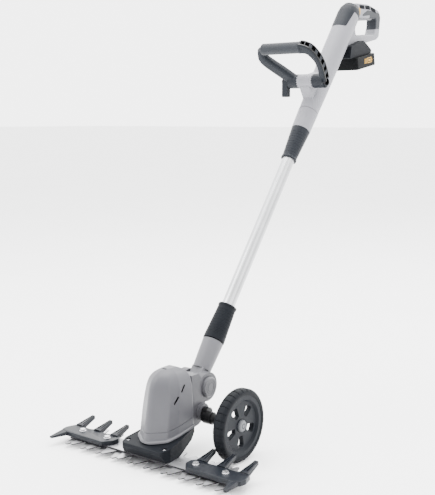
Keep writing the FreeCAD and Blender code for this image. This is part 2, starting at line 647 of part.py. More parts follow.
def gear_wheel(teeth, z0, z1, turn):
    """A spur gear with straight-sided teeth on the Z axis, one tooth centred at turn."""
    pitch_r = teeth * GEAR_MODULE / 2
    root_r = pitch_r - 1.25 * GEAR_MODULE
    tip_r = pitch_r + 0.8 * GEAR_MODULE
    step = 360.0 / teeth
    points = []
    for index in range(teeth):
        for share, radius in ((-0.3, root_r), (-0.09, tip_r), (0.09, tip_r), (0.3, root_r)):
            angle = math.radians(turn + step * (index + share))
            points.append(Vector(radius * math.cos(angle), radius * math.sin(angle), z0))
    return Part.Face(Part.makePolygon(points + points[:1])).extrude(Vector(0, 0, z1 - z0))


# ---- cutter ----
GUIDE_BOLTS = (-150.0, -62.0, 62.0, 150.0)
GUARD_BOLTS = (-170.0, -106.0, 106.0, 170.0)
GUARD_BOLT_Y = 10.0
BLADE_OFFSET = 2.25         # each blade stands this far from its middle at rest
BLADE_STROKE = 5.0          # and moves this far to each side of it


def tooth(x, side):
    """One tapered tooth of a blade, pointing to the front or the back."""
    root = BLADE_MID_Y + side * (TOOTH_ROOT - 1)
    tip = BLADE_MID_Y + side * TOOTH_TIP
    outline = [(x - 11, root), (x - 2.6, tip), (x + 2.6, tip), (x + 11, root)]
    if side > 0:
        outline.reverse()
    return outline


def blade(name, z, count, shift):
    """A double-sided blade with a strip of teeth along each edge."""
    first = -(count - 1) / 2 * TOOTH_PITCH + shift
    end = 186.0
    strip = block((-end + shift, end + shift), (BLADE_MID_Y - TOOTH_ROOT, BLADE_MID_Y + TOOTH_ROOT),
                  (z, z + BLADE_T))
    teeth = []
    for index in range(count):
        for side in (-1, 1):
            teeth.append(plan_prism(tooth(first + index * TOOTH_PITCH, side), z, z + BLADE_T, [1, 2, 2, 1]))
    gullets = []
    for index in range(count - 1):
        middle = first + (index + 0.5) * TOOTH_PITCH
        for side in (-1, 1):
            gullets.append(rod_z(middle, BLADE_MID_Y + side * (TOOTH_ROOT + 3), z - 1, z + BLADE_T + 1, 9))
    window = rod_z(shift, GEAR_Y, z - 1, z + BLADE_T + 1, 18.5)
    slots = []
    travel = BLADE_STROKE + 1
    for x in GUIDE_BOLTS + GUARD_BOLTS:
        y = GUARD_BOLT_Y if x in GUARD_BOLTS else BLADE_MID_Y
        middle = x + shift
        outline = [(middle - travel - 4, y - 3.4), (middle + travel + 4, y - 3.4),
                   (middle + travel + 4, y + 3.4), (middle - travel - 4, y + 3.4)]
        slots.append(plan_prism(outline, z - 1, z + BLADE_T + 1, 3.3))
    keep(name, cut(union([strip] + teeth), gullets + [window] + slots))


def support_bar():
    half = 192.0
    plan = [(-half, -3.5), (half, -3.5), (half, 41), (-half, 41)]
    bar = plan_prism(plan, BAR_Z, BASE_Z, 5)
    holes = [rod_z(x, BLADE_MID_Y, 10, 16, 2.5) for x in GUIDE_BOLTS]
    holes += [rod_z(x, GUARD_BOLT_Y, 10, 16, 2.5) for x in GUARD_BOLTS]
    holes.append(rod_z(GEAR_X, GEAR_Y, 10, 16, 10.5))
    keep("support_bar", cut(bar, holes))
    bolts = []
    for x in GUIDE_BOLTS:
        shank = rod_z(x, BLADE_MID_Y, 4.4, BASE_Z, 2.5)
        foot = rod_z(x, BLADE_MID_Y, 4.0, 6.6, 6.5)
        bolts.append(union([shank, foot]))
    keep("blade_guide_bolts", Part.makeCompound(bolts))


def guard_finger(x):
    """A tapered ribbed finger that rises behind the blades."""
    def section(y, half, low, high):
        points = [(x - half, low), (x + half, low), (x + half, high), (x - half, high)]
        return rounded_wire([Vector(px, y, pz) for px, pz in points], 1.0)
    body = Part.makeLoft([section(26, 8.5, BASE_Z, 25), section(64, 4.2, 27, 34)], True, True)
    ribs = []
    for side in (-1, 1):
        def groove(y, top):
            middle = x + side * (3.4 if y < 40 else 1.9)
            points = [(middle - 1, top - 2), (middle + 1, top - 2), (middle + 1, top + 2), (middle - 1, top + 2)]
            return rounded_wire([Vector(px, y, pz) for px, pz in points], 0.3)
        ribs.append(Part.makeLoft([groove(32, 26.4), groove(63, 34)], True, True))
    return cut(body, ribs)


def guard():
    """The right guard: a plate over the bar's end, three rear fingers and one front finger."""
    plate_plan = [(100, -11), (196, -11), (211, -6), (214, 8), (206, 32), (94, 32), (86, 20), (87, 6)]
    plate = plan_prism(plate_plan, BASE_Z, 23, [3, 6, 6, 8, 6, 6, 5, 5])
    plate = eased(plate, 1.5, lambda edge: edge.CenterOfMass.z > 22.9)
    scallops = [rod_z(127, 50, 10, 40, 24), rod_z(171, 50, 10, 40, 24)]
    fingers = [guard_finger(x) for x in (104.5, 148.3, 195.6)]
    tip = [Vector(px, -39, pz) for px, pz in ((202, 14.7), (209, 14.7), (209, 18.5), (202, 18.5))]
    root = [Vector(px, -6, pz) for px, pz in ((190, 14.7), (209, 14.7), (209, 23), (190, 23))]
    front = Part.makeLoft([rounded_wire(root, 1), rounded_wire(tip, 1)], True, True)
    solid = union([plate.cut(Part.makeCompound(scallops)), front] + fingers)
    holes = [rod_z(x, GUARD_BOLT_Y, 10, 40, 2.5) for x in GUARD_BOLTS if x > 0]
    return cut(solid, holes)


def guards():
    right = guard()
    keep("guard_right", right)
    keep("guard_left", mirrored(right))
    bolts = []
    for x in GUARD_BOLTS:
        head = union([hexagon(5.2, 23.05, 27), rod_z(0, 0, BAR_Z, 23.1, 2.5)])
        washer = rod_z(0, 0, 23.05, 23.9, 6.2)
        bolts.append(moved(union([head, washer]), x, GUARD_BOLT_Y, 0))
    keep("guard_bolts", Part.makeCompound(bolts))


# ---- wheel ----
def wheel_arm():
    """The cranked arm: a plug in the right socket and a spindle boss below it."""
    plug = rod_x(17.5, 44, SOCKET_Y, SOCKET_Z, SOCKET_R - FIT)
    steps = []
    for share in (0, 0.5, 1):
        y = SOCKET_Y + (WHEEL_Y - SOCKET_Y) * share
        z = SOCKET_Z + (WHEEL_R - SOCKET_Z) * share
        steps.append(rod_x(41, 50, y, z, 10.5))
    boss = union([rod_x(44, 62, WHEEL_Y, WHEEL_R, 11.8), rod_x(60, 98, WHEEL_Y, WHEEL_R, 9.8)])
    nose = rod_x(97, 107, WHEEL_Y, WHEEL_R, 8.5)
    arm = union([plug, boss, nose] + steps)
    keep("wheel_arm", arm.cut(rod_x(60, 120, WHEEL_Y, WHEEL_R, 5)))
    axle = union([rod_x(60, 129, WHEEL_Y, WHEEL_R, 5), rod_x(126.2, 128.2, WHEEL_Y, WHEEL_R, 8)])
    keep("axle", axle)


def wheel():
    """Rim with five windows, tyre with crowned shoulders, and the hub's cap."""
    half = TYRE_W / 2
    tyre = turned_x([(55, -half + 1), (60, -half), (64.8, -half + 3), (WHEEL_R, -half + 7),
                     (WHEEL_R, half - 7), (64.8, half - 3), (60, half), (55, half - 1)],
                    WHEEL_Y, WHEEL_R)
    keep("tyre", moved(tyre, WHEEL_X, 0, 0))
    rim = turned_x([(5 + FIT, -half + 1), (13, -half + 1), (15, -4), (44, -5), (48, -half + 1.5),
                    (55, -half + 1.2), (55, half - 1.2), (48, half - 1.5), (44, 5), (15, 5),
                    (13, half - 7), (5 + FIT, half - 7)], WHEEL_Y, WHEEL_R)
    windows = []
    for index in range(5):
        outline = [(-5, 19), (5, 19), (9.5, 40), (-9.5, 40)]
        wire = rounded_wire([Vector(-30, y, z) for y, z in outline], [2, 2, 4, 4])
        window = Part.Face(wire).extrude(Vector(60, 0, 0))
        window.rotate(Vector(0, 0, 0), Vector(1, 0, 0), 72 * index + 178)
        windows.append(moved(window, 0, WHEEL_Y, WHEEL_R))
    keep("wheel_rim", moved(cut(rim, windows), WHEEL_X, 0, 0))
    cap = turned_x([(8.4, half - 7), (10.5, half - 7), (10.5, half - 3), (8, half - 1), (0, half - 1),
                    (0, half - 2.4), (8.4, half - 2.4)], WHEEL_Y, WHEEL_R)
    keep("hub_cap", moved(cap, WHEEL_X, 0, 0))


# ---- the whole tool ----
ORIGIN_Y = 394.7            # middle of the whole tool, front to back


def build():
    rear_housing()
    housing_screws()
    end_cap()
    tube_clamp()
    switch_parts()
    trigger()
    lock_off_button()
    battery_socket()
    battery_pack()
    front_handle()
    collar("upper_collar", *UP_COLLAR, 15.2, 20.0, UP_COLLAR[0] + 34, UP_COLLAR[1] + 1)
    collar("lower_collar", *LOW_COLLAR, 21.5, 17.6, LOW_COLLAR[0] - 1, 132)
    pole_tube()
    neck()
    motor_cover()
    head_housing()
    gear_case()
    drive_parts()
    blade("lower_blade", LOWER_BLADE_Z, 10, BLADE_OFFSET)
    blade("upper_blade", UPPER_BLADE_Z, 9, -BLADE_OFFSET)
    support_bar()
    guards()
    wheel_arm()
    wheel()
    os.makedirs("parts", exist_ok=True)
    for name, shape in PARTS.items():
        shape.translate(Vector(0, -ORIGIN_Y, 0))
        shape.exportStep(os.path.join("parts", name + ".step"))
        print("%-22s solids %2d volume %9.0f valid %s" % (name, len(shape.Solids), shape.Volume, shape.isValid()))
    whole = Part.makeCompound(list(PARTS.values())).BoundBox
    print("box", [round(v, 2) for v in (whole.XMin, whole.XMax, whole.YMin, whole.YMax, whole.ZMin, whole.ZMax)])


build()
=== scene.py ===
import json
import math

import bmesh
import bpy
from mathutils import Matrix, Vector


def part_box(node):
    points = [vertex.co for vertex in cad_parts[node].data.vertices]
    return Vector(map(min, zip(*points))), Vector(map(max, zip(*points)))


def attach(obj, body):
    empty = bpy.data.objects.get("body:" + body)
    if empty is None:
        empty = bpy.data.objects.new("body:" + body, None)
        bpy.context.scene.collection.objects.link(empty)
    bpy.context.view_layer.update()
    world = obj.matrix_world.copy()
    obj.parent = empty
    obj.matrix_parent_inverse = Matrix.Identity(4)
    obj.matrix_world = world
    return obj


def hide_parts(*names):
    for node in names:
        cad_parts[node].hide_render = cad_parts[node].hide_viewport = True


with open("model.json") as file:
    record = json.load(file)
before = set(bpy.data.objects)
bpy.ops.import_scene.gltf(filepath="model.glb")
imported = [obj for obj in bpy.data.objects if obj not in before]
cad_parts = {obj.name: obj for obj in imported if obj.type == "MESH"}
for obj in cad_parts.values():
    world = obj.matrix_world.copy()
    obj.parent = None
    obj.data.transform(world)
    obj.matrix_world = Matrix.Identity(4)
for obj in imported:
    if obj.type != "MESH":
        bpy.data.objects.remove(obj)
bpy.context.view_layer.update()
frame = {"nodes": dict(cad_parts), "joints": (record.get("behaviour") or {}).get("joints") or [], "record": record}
joints = {joint["name"]: joint for joint in frame["joints"]}

# ---- places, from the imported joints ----
MM = 0.001
TILT = Vector(joints["head_tilt"]["pos_m"])
HANDLE = Vector(joints["front_handle_turn"]["pos_m"])
AXLE = Vector(joints["wheel_spin"]["pos_m"])
POLE = Vector(joints["pole_slide"]["axis"])
PACK = Vector(joints["battery_slide"]["axis"])
LOOP_RISE = math.radians(126.3)


# ---- materials ----
def new_material(name):
    material = bpy.data.materials.new(name)
    material.use_nodes = True
    nodes = material.node_tree.nodes
    nodes.clear()
    output = nodes.new("ShaderNodeOutputMaterial")
    shader = nodes.new("ShaderNodeBsdfPrincipled")
    material.node_tree.links.new(shader.outputs[0], output.inputs[0])
    return material, nodes, material.node_tree.links, shader


def noise(nodes, links, scale, detail, stretch=(1, 1, 1), turn=(0, 0, 0)):
    """Noise in the row frame, in features per metre."""
    coords = nodes.new("ShaderNodeTexCoord")
    mapping = nodes.new("ShaderNodeMapping")
    mapping.vector_type = "TEXTURE" if any(turn) else "POINT"
    mapping.inputs["Rotation"].default_value = turn
    if any(turn):
        mapping.inputs["Scale"].default_value = [1 / s for s in stretch]
    else:
        mapping.inputs["Scale"].default_value = stretch
    texture = nodes.new("ShaderNodeTexNoise")
    texture.inputs["Scale"].default_value = scale
    texture.inputs["Detail"].default_value = detail
    links.new(coords.outputs["Object"], mapping.inputs["Vector"])
    links.new(mapping.outputs[0], texture.inputs["Vector"])
    return texture.outputs["Fac"]


def tinted(nodes, links, factor, colour, spread):
    """The colour, a little darker and lighter by the factor."""
    ramp = nodes.new("ShaderNodeValToRGB")
    ramp.color_ramp.elements[0].position = 0.3
    ramp.color_ramp.elements[1].position = 0.7
    ramp.color_ramp.elements[0].color = [c * (1 - spread) for c in colour] + [1]
    ramp.color_ramp.elements[1].color = [min(1.0, c * (1 + spread)) for c in colour] + [1]
    links.new(factor, ramp.inputs[0])
    return ramp.outputs[0]


def ranged(nodes, links, factor, low, high):
    span = nodes.new("ShaderNodeMapRange")
    span.inputs["From Min"].default_value = 0.3
    span.inputs["From Max"].default_value = 0.7
    span.inputs["To Min"].default_value = low
    span.inputs["To Max"].default_value = high
    links.new(factor, span.inputs["Value"])
    return span.outputs[0]


def bumped(nodes, links, shader, factor, strength, depth):
    bump = nodes.new("ShaderNodeBump")
    bump.inputs["Strength"].default_value = strength
    bump.inputs["Distance"].default_value = depth
    links.new(factor, bump.inputs["Height"])
    links.new(bump.outputs[0], shader.inputs["Normal"])


def moulded(name, colour, rough, grain, spread=0.05, gloss=0.25):
    """Moulded plastic: an even tint, fine spark grain and slightly uneven gloss."""
    material, nodes, links, shader = new_material(name)
    shader.inputs["Specular IOR Level"].default_value = gloss
    wide = noise(nodes, links, 22, 3)
    fine = noise(nodes, links, 1500, 2)
    links.new(tinted(nodes, links, wide, colour, spread), shader.inputs["Base Color"])
    links.new(ranged(nodes, links, wide, rough - 0.05, rough + 0.05), shader.inputs["Roughness"])
    bumped(nodes, links, shader, fine, grain, 0.0002)
    return material


def soft_touch(name, colour, gloss=0.20, sheen=0.15):
    """Soft overmould: dull, with a coarser pebble grain and a faint sheen."""
    material, nodes, links, shader = new_material(name)
    wide = noise(nodes, links, 30, 4)
    pebbles = nodes.new("ShaderNodeTexVoronoi")
    pebbles.inputs["Scale"].default_value = 900
    coords = nodes.new("ShaderNodeTexCoord")
    links.new(coords.outputs["Object"], pebbles.inputs["Vector"])
    links.new(tinted(nodes, links, wide, colour, 0.12), shader.inputs["Base Color"])
    links.new(ranged(nodes, links, wide, 0.62, 0.74), shader.inputs["Roughness"])
    shader.inputs["Sheen Weight"].default_value = sheen
    shader.inputs["Specular IOR Level"].default_value = gloss
    bumped(nodes, links, shader, pebbles.outputs["Distance"], 0.25, 0.0003)
    return material


def metal(name, colour, rough, stretch, turn=(0, 0, 0), strength=0.12):
    """Bare metal with fine lines along one direction and a few dull patches."""
    material, nodes, links, shader = new_material(name)
    lines = noise(nodes, links, 60, 4, stretch, turn)
    wide = noise(nodes, links, 18, 3)
    shader.inputs["Metallic"].default_value = 1.0
    links.new(tinted(nodes, links, wide, colour, 0.07), shader.inputs["Base Color"])
    links.new(ranged(nodes, links, lines, rough - 0.07, rough + 0.09), shader.inputs["Roughness"])
    bumped(nodes, links, shader, lines, strength, 0.0002)
    return material


LIGHT_GREY = (0.190, 0.190, 0.208)
MID_GREY = (0.073, 0.073, 0.081)
DARK = (0.0088, 0.0106, 0.0142)
BLACK = (0.0030, 0.0030, 0.0035)
POLE_LEAN = math.radians(-37.3)  # the pole's lean from upright, for its drawn lines

housing_grey = moulded("housing_grey", LIGHT_GREY, 0.42, 0.10, 0.03)
neck_grey = moulded("neck_grey", (0.095, 0.095, 0.104), 0.42, 0.10, 0.03)
cover_grey = moulded("cover_grey", MID_GREY, 0.38, 0.12, 0.03)
head_grey = moulded("head_grey", (0.063, 0.063, 0.070), 0.42, 0.12, 0.03)
dark_plastic = moulded("dark_plastic", DARK, 0.50, 0.28, 0.10, 0.14)
guard_plastic = moulded("guard_plastic", (0.0052, 0.0066, 0.0096), 0.36, 0.25, 0.10, 0.16)
case_plastic = moulded("case_plastic", (0.0058, 0.0068, 0.0088), 0.50, 0.28, 0.10, 0.06)
gloss_black = moulded("gloss_black", (0.002, 0.002, 0.0025), 0.20, 0.04, 0.10, 0.22)
battery_black = moulded("battery_black", (0.0030, 0.0034, 0.0038), 0.45, 0.30, 0.10, 0.05)
arm_plastic = moulded("arm_plastic", BLACK, 0.36, 0.20, 0.10)
wheel_plastic = moulded("wheel_plastic", (0.0060, 0.0074, 0.0098), 0.46, 0.30, 0.10, 0.09)
wheel_tyre = moulded("wheel_tyre", (0.0050, 0.0058, 0.0074), 0.55, 0.40, 0.12, 0.07)
trigger_plastic = moulded("trigger_plastic", (0.15, 0.15, 0.16), 0.40, 0.10, 0.03)
plug_grey = moulded("plug_grey", (0.20, 0.215, 0.235), 0.28, 0.06, 0.03)
inner_plastic = moulded("inner_plastic", (0.10, 0.11, 0.11), 0.50, 0.15, 0.08)
gold_accent = moulded("gold_accent", (0.42, 0.235, 0.035), 0.36, 0.10, 0.06)
hub_silver = moulded("hub_silver", (0.10, 0.104, 0.112), 0.30, 0.08, 0.04)
cell_wrap = moulded("cell_wrap", (0.05, 0.22, 0.38), 0.35, 0.05, 0.05)
lead_rubber = moulded("lead_rubber", BLACK, 0.60, 0.20, 0.10)
soft_grip = soft_touch("soft_grip", (0.0115, 0.0138, 0.0180))
crest_rubber = soft_touch("crest_rubber", (0.0040, 0.0048, 0.0064), 0.04, 0.0)
tube_aluminium = metal("tube_aluminium", (0.46, 0.465, 0.475), 0.30, (8, 8, 0.15),
                       (POLE_LEAN, 0, 0), 0.05)
blade_steel = metal("blade_steel", (0.48, 0.48, 0.492), 0.40, (12, 0.6, 12))
bar_steel = metal("bar_steel", (0.52, 0.52, 0.54), 0.38, (0.6, 12, 12))
fastener_steel = metal("fastener_steel", (0.72, 0.72, 0.74), 0.28, (6, 6, 6))
# Near-black steel used as painted shade on the side faces of the support bar and blades.
edge_shade_steel = metal("edge_shade_steel", (0.035, 0.035, 0.038), 0.50, (0.6, 12, 12))
black_steel = metal("black_steel", (0.03, 0.03, 0.033), 0.40, (6, 6, 6))
gear_steel = metal("gear_steel", (0.42, 0.42, 0.45), 0.35, (4, 4, 12))
contact_brass = metal("contact_brass", (0.80, 0.58, 0.26), 0.30, (4, 4, 12))

# The finish of each material slot in the record.
FINISH = {
    "housing_grey": housing_grey, "neck_grey": neck_grey, "cover_grey": cover_grey,
    "head_grey": head_grey, "dark_plastic": dark_plastic, "plug_grey": plug_grey,
    "guard_plastic": guard_plastic, "soft_grip": soft_grip, "trigger_plastic": trigger_plastic,
    "gold_accent": gold_accent, "battery_black": battery_black, "cell_wrap": cell_wrap,
    "contact_brass": contact_brass, "inner_plastic": inner_plastic,
    "tube_aluminium": tube_aluminium, "lead_rubber": lead_rubber, "blade_steel": blade_steel,
    "bar_steel": bar_steel, "fastener_steel": fastener_steel, "gear_steel": gear_steel,
    "arm_plastic": arm_plastic, "wheel_plastic": wheel_plastic, "wheel_tyre": wheel_tyre,
    "hub_silver": hub_silver,
}
SLOT = {part["node"]: part["material_slot"] for part in frame["record"]["subparts"]}
BODY = {node: body for body, nodes in frame["record"]["behaviour"]["bodies"].items()
        for node in nodes}


# ---- pieces with a CAD node's own shape ----
def add_object(name, mesh):
    piece = bpy.data.objects.new(name, mesh)
    bpy.context.scene.collection.objects.link(piece)
    return piece


def softened(piece, width, segments=2, angle=30):
    """Rounds the sharp edges and evens out the shading."""
    for polygon in piece.data.polygons:
        polygon.use_smooth = True
    if width > 0:
        bevel = piece.modifiers.new("soft_edges", "BEVEL")
        bevel.width = width * MM
        bevel.segments = segments
        bevel.limit_method = "ANGLE"
        bevel.angle_limit = math.radians(angle)
        bevel.miter_outer = "MITER_ARC"
    even = piece.modifiers.new("even_shading", "WEIGHTED_NORMAL")
    even.weight = 60


def dressed(node, width, segments=2, angle=30):
    """A piece with a CAD node's shape, its moulded or machined edges rounded."""
    mesh = frame["nodes"][node].data.copy()
    shape = bmesh.new()
    shape.from_mesh(mesh)
    bmesh.ops.remove_doubles(shape, verts=shape.verts, dist=0.00001)
    bmesh.ops.dissolve_limit(shape, angle_limit=math.radians(0.5), verts=shape.verts,
                             edges=shape.edges)
    shape.to_mesh(mesh)
    shape.free()
    mesh.materials.clear()
    mesh.materials.append(FINISH[SLOT[node]])
    piece = add_object(node + "_skin", mesh)
    softened(piece, width, segments, angle)
    settle(piece, node)
    return piece


def settle(piece, *nodes):
    """The piece stands for these CAD nodes and rides on the first one's body."""
    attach(piece, BODY[nodes[0]])
    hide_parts(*nodes)


EDGES = {  # how wide each piece's edges are rounded, in millimetres
    "housing_left": 0.8, "housing_right": 0.8, "rear_grip_sleeve": 0.8,
    "housing_screws": 0.2, "end_cap": 0.9, "end_plug": 0.4, "tube_clamp": 0.2,
    "main_switch": 0.3, "control_board": 0.2, "trigger": 1.2, "lock_off_button": 0.8,
    "battery_socket": 2.0, "battery_contacts": 0.1, "battery_case": 1.2, "battery_cells": 0.6,
    "battery_latch": 0.8, "front_soft_grip": 1.5,
    "front_handle_bolt": 0.4, "clamp_lever": 1.2, "upper_collar": 0.3, "lower_collar": 0.3,
    "pole_tube": 0.3, "motor_lead": 0.0, "lead_bush": 0.2, "neck_left": 0.6,
    "neck_right": 0.6, "head_housing_left": 1.6, "head_housing_right": 1.6, "tilt_pin": 0.3,
    "tilt_cap": 1.0, "tilt_button": 1.0, "right_socket_bush": 0.5, "left_socket_bush": 0.5,
    "gear_case": 1.6, "case_screws": 0.3, "motor": 0.8, "motor_plate": 0.4, "pinion": 0.15,
    "drive_gear": 0.2, "gear_post": 0.3, "lower_blade": 0.45, "upper_blade": 0.45,
    "support_bar": 0.4, "blade_guide_bolts": 0.4, "guard_left": 0.8, "guard_right": 0.8,
    "guard_bolts": 0.4, "wheel_arm": 1.0, "axle": 0.4, "wheel_rim": 0.8, "hub_cap": 0.5,
}
skins = {node: dressed(node, width) for node, width in EDGES.items()}
skins["front_handle_bolt"].data.materials[0] = black_steel
for node in ("gear_case", "battery_socket", "lower_collar"):
    skins[node].data.materials[0] = case_plastic


def paint_edge_shade(*nodes):
    """Painted shade: the side faces of the bar and the blades get a near-black steel, standing in for the shadowed
    gaps and dark outlines along their edges.
    """
    for node in nodes:
        mesh = skins[node].data
        mesh.materials.append(edge_shade_steel)
        for polygon in mesh.polygons:
            # Faces that stand upright take the painted shade.
            if abs(polygon.normal.z) < 0.3:
                polygon.material_index = 1


# Paint shade onto the side faces of the support bar and both blades.
paint_edge_shade("support_bar", "upper_blade", "lower_blade")


# ---- shapes from outlines ----
def rounded(points, radii, steps=6):
    """The outline with each corner turned into an arc of its radius."""
    outline = []
    for index, point in enumerate(points):
        here = Vector(point)
        before = (Vector(points[index - 1]) - here).normalized()
        after = (Vector(points[(index + 1) % len(points)]) - here).normalized()
        half = before.angle(after) / 2
        radius = radii[index] if isinstance(radii, (list, tuple)) else radii
        bisector = (before + after).normalized()
        centre = here + bisector * radius / math.sin(half)
        first = here + before * radius / math.tan(half) - centre
        last = here + after * radius / math.tan(half) - centre
        for step in range(steps + 1):
            share = step / steps
            outline.append(centre + (first * (1 - share) + last * share).normalized() * radius)
    return outline


def lofted(name, rings, ends=True, around=False):
    """A skin over rings of equal length, with its two ends closed, or joined all the way round."""
    count = len(rings[0])
    corners = [corner for ring in rings for corner in ring]
    faces = []
    for row in range(len(rings) if around else len(rings) - 1):
        below, above = row * count, (row + 1) % len(rings) * count
        for index in range(count):
            after = (index + 1) % count
            faces.append((below + index, below + after, above + after, above + index))
    if ends and not around:
        faces.append(tuple(reversed(range(count))))
        faces.append(tuple(range(len(corners) - count, len(corners))))
    mesh = bpy.data.meshes.new(name)
    mesh.from_pydata(corners, [], faces)
    shape = bmesh.new()
    shape.from_mesh(mesh)
    bmesh.ops.recalc_face_normals(shape, faces=shape.faces)
    shape.to_mesh(mesh)
    shape.free()
    return add_object(name, mesh)


def combined(piece, others, operation):
    """Joins the others to the piece, or cuts them out of it, and removes them."""
    for number, other in enumerate(others):
        change = piece.modifiers.new("change_%d" % number, "BOOLEAN")
        change.object = other
        change.operation = operation
        change.solver = "EXACT"
        change.material_mode = "TRANSFER"
    apply_modifiers(piece)
    for other in others:
        bpy.data.objects.remove(other)


def apply_modifiers(piece):
    bpy.context.view_layer.update()
    evaluated = piece.evaluated_get(bpy.context.evaluated_depsgraph_get())
    mesh = bpy.data.meshes.new_from_object(evaluated)
    piece.modifiers.clear()
    piece.data = mesh


# ---- motor cover ----
COVER_LEVELS = [  # height, prow, corner x and y, half width and its y, back
    (30, -7, 34, 19, 38, 46, 92), (65, -1, 32.5, 22.5, 37, 48, 92), (100, 6, 31, 27, 36, 50, 92),
    (132, 12, 28.5, 33, 33.5, 54, 92), (147, 18.5, 25.5, 37, 30, 56, 91),
    (156, 28, 20.5, 42, 24, 58, 88), (162, 40, 13.5, 49, 16, 60, 82),
    (165, 50, 7, 55, 9, 62, 76)]
TILT_DRAWN = (141, 115)  # the tilt axis in the head's drawing, y and z
COVER_ROUNDS = (14, 9, 8, 5, 5, 8, 9)
FLANGE_ROUNDS = (30, 16, 12, 5, 5, 12, 16)


def head_point(x, y, z):
    """A point given in millimetres in the head's drawing."""
    drawn_y, drawn_z = TILT_DRAWN
    return TILT + Vector((x, y - drawn_y, z - drawn_z)) * MM


def cover_level(height):
    """The cover's plan at a height, on a smooth curve through its drawn levels."""
    levels = COVER_LEVELS
    last = len(levels) - 1
    index = max(0, min(last - 1, sum(1 for level in levels[1:] if level[0] <= height)))
    low, high = levels[index], levels[index + 1]
    share = (height - low[0]) / (high[0] - low[0])
    before = levels[max(0, index - 1)]
    after = levels[min(last, index + 2)]
    plan = []
    for part in range(1, 7):
        rise_low = (high[part] - before[part]) / (high[0] - before[0])
        rise_high = (after[part] - low[part]) / (after[0] - low[0])
        span = high[0] - low[0]
        a, b = share * share, share ** 3
        plan.append((2 * b - 3 * a + 1) * low[part] + (b - 2 * a + share) * span * rise_low
                    + (3 * a - 2 * b) * high[part] + (b - a) * span * rise_high)
    return plan


def cover_ring(height, spread, flange=0.0):
    """The plan at a height, widened by the spread, and rounder where it is a flange."""
    prow, corner_x, corner_y, half, half_y, back = cover_level(height)
    points = [(0, prow - spread - 1.5 * flange), (corner_x + spread, corner_y - spread * 0.5),
              (half + spread, half_y), (half + spread, back), (-half - spread, back),
              (-half - spread, half_y), (-corner_x - spread, corner_y - spread * 0.5)]
    size = min(1.0, max(0.12, (half + 2) / 34))
    return rounded(points, [(plain * (1 - flange) + wide * flange) * size
                            for plain, wide in zip(COVER_ROUNDS, FLANGE_ROUNDS)])


def rim_height(y):
    return 37.4 + 0.16 * (y + 12)


def slanted_ring(lift, spread, flange=0.0):
    """A ring that keeps a set height above the cover's sloping rim."""
    ring = []
    for index, flat in enumerate(cover_ring(rim_height(25) + lift, spread, flange)):
        height = rim_height(flat[1]) + lift
        point = cover_ring(max(30, height), spread, flange)[index]
        ring.append(head_point(point[0], point[1], height))
    return ring


def motor_cover():
    rings = [slanted_ring(*lip) for lip in (
        (0, 3.0, 1.0), (0.5, 3.6, 1.0), (2.4, 3.6, 1.0), (3.2, 3.0, 1.0), (3.7, 1.4, 0.6),
        (4.6, 0.5, 0.3), (6.5, 0.0, 0.1))]
    rings += [slanted_ring(lift, spread) for lift, spread in (
        (12, 0), (16.4, 0), (16.9, -0.2), (17.2, -1.1), (18.4, -1.1), (18.7, -0.2), (19.2, 0))]
    for height in (80, 92, 104, 116, 126, 134, 140, 145, 149, 153, 156, 158.5, 160.5, 162.2,
                   163.6, 164.6, 165.2):
        rings.append([head_point(x, y, height) for x, y in cover_ring(height, 0)])
    piece = lofted("motor_cover_skin", rings)
    shape = bmesh.new()
    shape.from_mesh(piece.data)
    floor_face = min(shape.faces, key=lambda face: face.calc_center_median().z)
    bmesh.ops.delete(shape, geom=[floor_face], context="FACES_ONLY")
    shape.to_mesh(piece.data)
    shape.free()
    piece.data.materials.append(cover_grey)
    wall = piece.modifiers.new("wall", "SOLIDIFY")
    wall.thickness = 2.2 * MM
    wall.offset = -1
    apply_modifiers(piece)
    slits = [slit(64, 131, 48), slit(45, 113, 48), top_slit()]
    combined(piece, slits, "DIFFERENCE")
    softened(piece, 0.35, 2, 40)
    settle(piece, "motor_cover")


def slit(y, z, lean):
    """A cutter for the slanting vents in both flanks."""
    outline = rounded([(-8, -1.8), (8, -1.8), (8, 1.8), (-8, 1.8)], 1.2)
    turn = math.radians(lean)
    rings = []
    for x in (-60, 60):
        ring = []
        for along, across in outline:
            ring.append(head_point(x, y + along * math.cos(turn) - across * math.sin(turn),
                                   z + along * math.sin(turn) + across * math.cos(turn)))
        rings.append(ring)
    cutter = lofted("slit", rings)
    cutter.data.materials.append(gloss_black)
    return cutter


def top_slit():
    outline = rounded([(-5, 50), (5, 50), (5, 53.2), (-5, 53.2)], 1.5)
    return lofted("top_slit", [[head_point(x, y, z) for x, y in outline] for z in (155, 175)])


# ---- wheel ----
def tyre():
    """A tyre with cross grooves in its tread and a shallow ring in each flank."""
    low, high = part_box("tyre")
    half = (high.x - low.x) / 2
    outer = (high.z - low.z) / 2
    profile = [(0.8200, -0.90), (0.8350, -0.97), (0.8800, -1.0), (0.9200, -0.97), (0.9450, -0.90),
               (0.9720, -0.76), (0.9900, -0.60), (1.0, -0.42), (1.0, 0.0), (1.0, 0.42),
               (0.9900, 0.60), (0.9720, 0.76), (0.9450, 0.90), (0.9200, 0.97), (0.8800, 1.0),
               (0.8350, 0.97), (0.8200, 0.90)]
    rings = []
    blocks = 32
    for block in range(blocks):
        for share, depth in ((0.0, 1.0), (0.09, 1.0), (0.13, 0.0), (0.38, 0.0), (0.63, 0.0),
                             (0.96, 0.0)):
            ring = []
            for radius, across in profile:
                skew = 0.10 * abs(across)
                angle = 2 * math.pi * (block + share + skew) / blocks
                cut = depth * 1.5 * MM if radius > 0.94 else 0
                r = radius * outer - cut
                ring.append((AXLE.x + across * half, AXLE.y + r * math.cos(angle),
                             AXLE.z + r * math.sin(angle)))
            rings.append(ring)
    piece = lofted("tyre_skin", rings, around=True)
    piece.data.materials.append(wheel_tyre)
    softened(piece, 0.3, 1, 35)
    settle(piece, "tyre")


